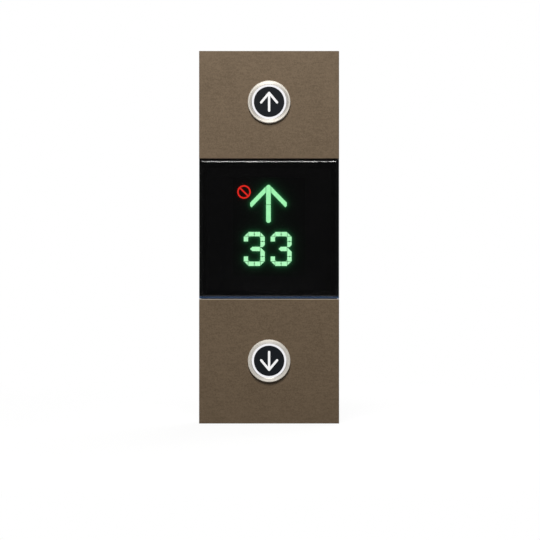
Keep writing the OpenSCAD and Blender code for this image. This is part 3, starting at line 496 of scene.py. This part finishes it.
finishes = {
    "plate_paint": painted_plate("plate_paint"),
    "tinted_window": tinted_window("tinted_window"),
    "foam_tape": rubber("foam_tape", (0.008, 0.008, 0.008)),
    "black_moulding": moulded("black_moulding", (0.013, 0.013, 0.0135), 0.48),
    "zinc_sheet": rolled_sheet("zinc_sheet", (0.60, 0.61, 0.62)),
    "grommet_rubber": rubber("grommet_rubber", (0.022, 0.022, 0.022)),
    "screw_steel": plated("screw_steel", (0.58, 0.585, 0.59)),
    "seal_rubber": rubber("seal_rubber", (0.018, 0.018, 0.018)),
    "nut_metal": plated("nut_metal", (0.66, 0.64, 0.60), 0.22),
    "halo_light": lit("halo_light", (0.97, 0.965, 1.0), 0.84),
    "arrow_light": lit("arrow_light", WHITE, 0.84),
    "cap_black": moulded("cap_black", (0.004, 0.0058, 0.0082), 0.42, 0.25 * MM, 0.004 * MM, specular=0.14),
    "milky_plastic": moulded("milky_plastic", (0.74, 0.75, 0.76), 0.35, 0.4 * MM, 0.004 * MM),
    "spring_wire": plated("spring_wire", (0.55, 0.56, 0.57), 0.25),
    "green_light": lit("green_light", GREEN, 0.95, WINDOW_PASS),
    "digit_light": lit("digit_light", DIGIT_GREEN, 1.0, WINDOW_PASS),
    "red_light": lit("red_light", RED, 0.93, WINDOW_PASS),
    "dark_filling": spill_black("dark_filling"),
    "mask_black": spill_black("mask_black"),
    "white_block": moulded("white_block", (0.78, 0.78, 0.77), 0.5, 0.4 * MM, 0.006 * MM),
    "circuit_board": circuit_board("circuit_board"),
    "lamp_chip": moulded("lamp_chip", (0.85, 0.76, 0.36), 0.3, 0.3 * MM, 0.004 * MM),
    "chip_black": moulded("chip_black", (0.02, 0.02, 0.021), 0.55, 0.12 * MM, 0.006 * MM),
    "capacitor_can": plated("capacitor_can", (0.72, 0.73, 0.75), 0.3),
    "terminal_green": moulded("terminal_green", (0.03, 0.22, 0.09), 0.4, 0.3 * MM, 0.006 * MM),
    "header_cream": moulded("header_cream", (0.72, 0.67, 0.55), 0.45, 0.3 * MM, 0.006 * MM),
    "plunger_red": moulded("plunger_red", (0.5, 0.05, 0.035), 0.4, 0.3 * MM, 0.004 * MM),
}


def slot_of(node):
    rows = frame["record"]["subparts"]
    return next(row["material_slot"] for row in rows if row["node"] == node)


def axis_of(node):
    """The middle of a node in x and z, on the wall's face."""
    low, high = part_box(node)
    return Vector(((low.x + high.x) / 2, 0, (low.z + high.z) / 2))


def dress(piece, material):
    piece.data.materials.clear()
    piece.data.materials.append(material)


for name, piece in nodes.items():
    slot = slot_of(name)
    if slot != "bezel_steel":
        dress(piece, finishes[slot])

# The digits' filling is a little paler than the arrow's, which shares their slot
for digit in ("tens_digit", "units_digit"):
    dress(nodes[digit], finishes["digit_light"])

for button in BUTTONS:
    bezel = nodes[button + "_bezel"]
    centre, outer_r = axis_of(bezel.name), bezel.dimensions.x / 2
    dress(bezel, turned_steel(bezel.name + "_steel", BRUSHED_STEEL, centre, outer_r))


# Pieces that stand for CAD nodes

def welded(source):
    """The shape of a CAD mesh with its split points joined and flat faces."""
    form = bmesh.new()
    points = [form.verts.new(vert.co) for vert in source.data.vertices]
    for face in source.data.polygons:
        form.faces.new([points[i] for i in face.vertices])
    bmesh.ops.remove_doubles(form, verts=form.verts, dist=WELD_GAP)
    return form


def mesh_of(form, name):
    """A mesh with the shape of a form, which is used up."""
    mesh = bpy.data.meshes.new(name)
    form.to_mesh(mesh)
    form.free()
    return mesh


def corner_of(form, pick):
    return Vector([pick(v.co[i] for v in form.verts) for i in range(3)])


def cut_mesh(source, step, name):
    """A copy of a CAD mesh, welded and cut along a square grid."""
    form = welded(source)
    low, high = corner_of(form, min), corner_of(form, max)
    for axis in (0, 2):
        for i in range(1, math.ceil((high[axis] - low[axis]) / step)):
            point = low.copy()
            point[axis] += i * step
            normal = Vector((axis == 0, 0, axis == 2))
            parts = form.verts[:] + form.edges[:] + form.faces[:]
            bmesh.ops.bisect_plane(form, geom=parts, dist=CUT_GAP, plane_co=point, plane_no=normal)
    return mesh_of(form, name)


def light_points(names):
    """Points over the fronts of lit pieces, and the area that each stands for."""
    points, areas = [], []
    for name in names:
        mesh = cut_mesh(nodes[name], SPILL_STEP, name + "_light")
        for face in mesh.polygons:
            if face.normal.y < FORWARDS:
                points.append(tuple(face.center))
                areas.append(face.area)
    return np.array(points), np.array(areas)


def spill_at(places, names):
    """The light that reaches places in the signs' plane from lit pieces, by SPILLS."""
    points, areas = light_points(names)
    total = np.zeros(len(places))
    for i, place in enumerate(places):
        distance = np.hypot(points[:, 0] - place[0], points[:, 2] - place[2])
        for reach, strength in SPILLS:
            spread = 2 * math.pi * reach ** 2
            total[i] += strength * (np.exp(-distance / reach) * areas).sum() / spread
    return total


def light_up(name):
    """The piece again, with the light of the signs around it kept as a colour at each point."""
    node = nodes[name]
    mesh = cut_mesh(node, SPILL_STEP, name + "_skin")
    places = np.array([v.co for v in mesh.vertices])
    green = spill_at(places, ("lit_arrow", "tens_digit", "units_digit"))
    red = spill_at(places, ("no_entry_sign",))
    on_front = places[:, 1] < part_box(name)[0].y + ON_FRONT
    light = green[:, None] * np.array(SPILL_GREEN) + red[:, None] * np.array(SPILL_RED)
    colours = np.ones((len(places), 4))
    colours[:, :3] = light * on_front[:, None]
    layer = mesh.color_attributes.new(SPILL, "FLOAT_COLOR", "POINT")
    layer.data.foreach_set("color", colours.ravel())
    mesh.materials.append(finishes[slot_of(name)])
    skin = put(name + "_skin", mesh)
    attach(skin, "panel")
    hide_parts(name)


def round_front(name, width):
    """The piece again, with the sharp edges around its front rounded."""
    form = welded(nodes[name])
    bmesh.ops.dissolve_limit(form, angle_limit=FLAT_ANGLE, verts=form.verts, edges=form.edges)
    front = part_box(name)[0].y + ON_FRONT
    edges = [edge for edge in form.edges if all(vert.co.y < front for vert in edge.verts)]
    made = bmesh.ops.bevel(
        form, geom=[edge for edge in edges if edge.calc_face_angle() > SHARP_ANGLE], offset=width,
        segments=ROUNDING_STEPS, profile=0.5, affect="EDGES", clamp_overlap=True,
    )
    for face in made["faces"]:
        face.smooth = True
        for edge in face.edges:
            edge.smooth = edge.calc_length() > 2 * width
    bmesh.ops.triangulate(form, faces=[face for face in form.faces if len(face.verts) > 4])
    mesh = mesh_of(form, name + "_rounded")
    mesh.materials.append(finishes[slot_of(name)])
    piece = put(name + "_rounded", mesh)
    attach(piece, "panel")
    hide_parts(name)


def spring_mesh(name, centre, coil_r, back, front):
    """A round wire along a helix that runs forwards from the back, with closed ends."""
    form = bmesh.new()
    rise = (back - front - 2 * SPRING_WIRE_R) / (2 * math.pi * SPRING_TURNS)
    rings = []
    for i in range(SPRING_TURNS * SPRING_STEPS + 1):
        angle = 2 * math.pi * i / SPRING_STEPS
        outward = Vector((math.cos(angle), 0, math.sin(angle)))
        along = Vector((-math.sin(angle) * coil_r, -rise, math.cos(angle) * coil_r)).normalized()
        depth = back - SPRING_WIRE_R - rise * angle
        middle = centre + outward * coil_r + Vector((0, depth, 0))
        beside = along.cross(outward)
        ring = []
        for j in range(WIRE_SIDES):
            turn = 2 * math.pi * j / WIRE_SIDES
            across = math.cos(turn) * outward + math.sin(turn) * beside
            ring.append(form.verts.new(middle + SPRING_WIRE_R * across))
        rings.append(ring)
    for near, far in zip(rings, rings[1:]):
        for j in range(WIRE_SIDES):
            k = (j + 1) % WIRE_SIDES
            form.faces.new((near[j], far[j], far[k], near[k])).smooth = True
    form.faces.new(rings[0])
    form.faces.new(rings[-1][::-1])
    bmesh.ops.recalc_face_normals(form, faces=form.faces)
    return mesh_of(form, name)


def wind_spring(button):
    """A button's return spring as round wire."""
    node = button + "_spring"
    low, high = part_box(node)
    middle = axis_of(node)
    coil_r = (high.x - low.x) / 2 - SPRING_WIRE_R
    mesh = spring_mesh(node + "_wire", middle, coil_r, high.y, low.y)
    mesh.materials.append(finishes["spring_wire"])
    wire = put(node + "_wire", mesh)
    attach(wire, "panel")
    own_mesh(wire)
    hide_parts(node)


for name in ("display_mask", "unlit_segments"):
    light_up(name)
round_front("window", WINDOW_EDGE)
for button in BUTTONS:
    wind_spring(button)


# The stage

def make_floor():
    """A pale floor that is white to the camera and keeps a soft shadow near the panel."""
    mesh = bpy.data.meshes.new("floor")
    ends = (-FLOOR_REACH, FLOOR_REACH)
    corners = [(x, y, cad_box[0].z) for y in ends for x in ends]
    mesh.from_pydata(corners, [], [(0, 1, 3, 2)])
    floor = put("floor", mesh)
    finish = Finish("floor", roughness=0.9, specular=0.0)
    mirrored = finish.add("LightPath").outputs["Is Glossy Ray"]
    seen = finish.math("MAXIMUM", finish.to_eye(), mirrored)
    finish.set(base_colour=finish.blend(seen, FLOOR_DIM, FLOOR_PALE))
    point = finish.add("TexCoord").outputs["Object"]
    distance = finish.add("VectorMath", {0: point}, operation="LENGTH").outputs["Value"]
    white = finish.math("MULTIPLY", seen, finish.span(distance, FLOOR_WHITE, FLOOR_FADE))
    glow = finish.add("Emission", {"Color": opaque(WHITE), "Strength": 1.0})
    mixed = finish.add("MixShader", {0: white, 1: finish.shader.outputs[0], 2: glow.outputs[0]})
    finish.feed(finish.surface, mixed.outputs[0])
    mesh.materials.append(finish.material)


def make_world():
    """A room that is white to the camera and dim as light. Mirrored, it is dark ahead and aside."""
    world = bpy.data.worlds.new("room")
    world.use_nodes = True
    bpy.context.scene.world = world
    room = ShaderTree(world.node_tree)
    mirrored = room.add("LightPath").outputs["Is Glossy Ray"]
    toward = room.add("SeparateXYZ", {0: room.add("TexCoord").outputs["Generated"]}).outputs
    ahead = room.span(room.math("MULTIPLY", toward[1], -1.0), (0, 1), DARK_AHEAD)
    aside = room.span(room.math("ABSOLUTE", toward[0]), (0, ASIDE_DEPTH), DARK_ASIDE)
    mirror = room.blend(room.math("MAXIMUM", ahead, aside), WHITE, ROOM_DARK)
    light = room.blend(mirrored, AMBIENT, mirror)
    colour = room.blend(room.to_eye(), light, WHITE)
    background = room.add("Background", {"Color": colour, "Strength": 1.0})
    room.feed(room.add("OutputWorld").inputs["Surface"], background.outputs[0])


def add_lamp(name, place, size, power, colour):
    lamp = bpy.data.lights.new(name, "AREA")
    lamp.shape = "RECTANGLE"
    lamp.size, lamp.size_y = size
    lamp.energy = power
    lamp.color = colour
    made = put(name, lamp)
    made.location = place
    made.rotation_euler = (-Vector(place)).to_track_quat("-Z", "Y").to_euler()


make_floor()
make_world()
for name, lamp in LAMPS.items():
    add_lamp(name, *lamp)

bpy.context.scene.view_settings.view_transform = "Standard"
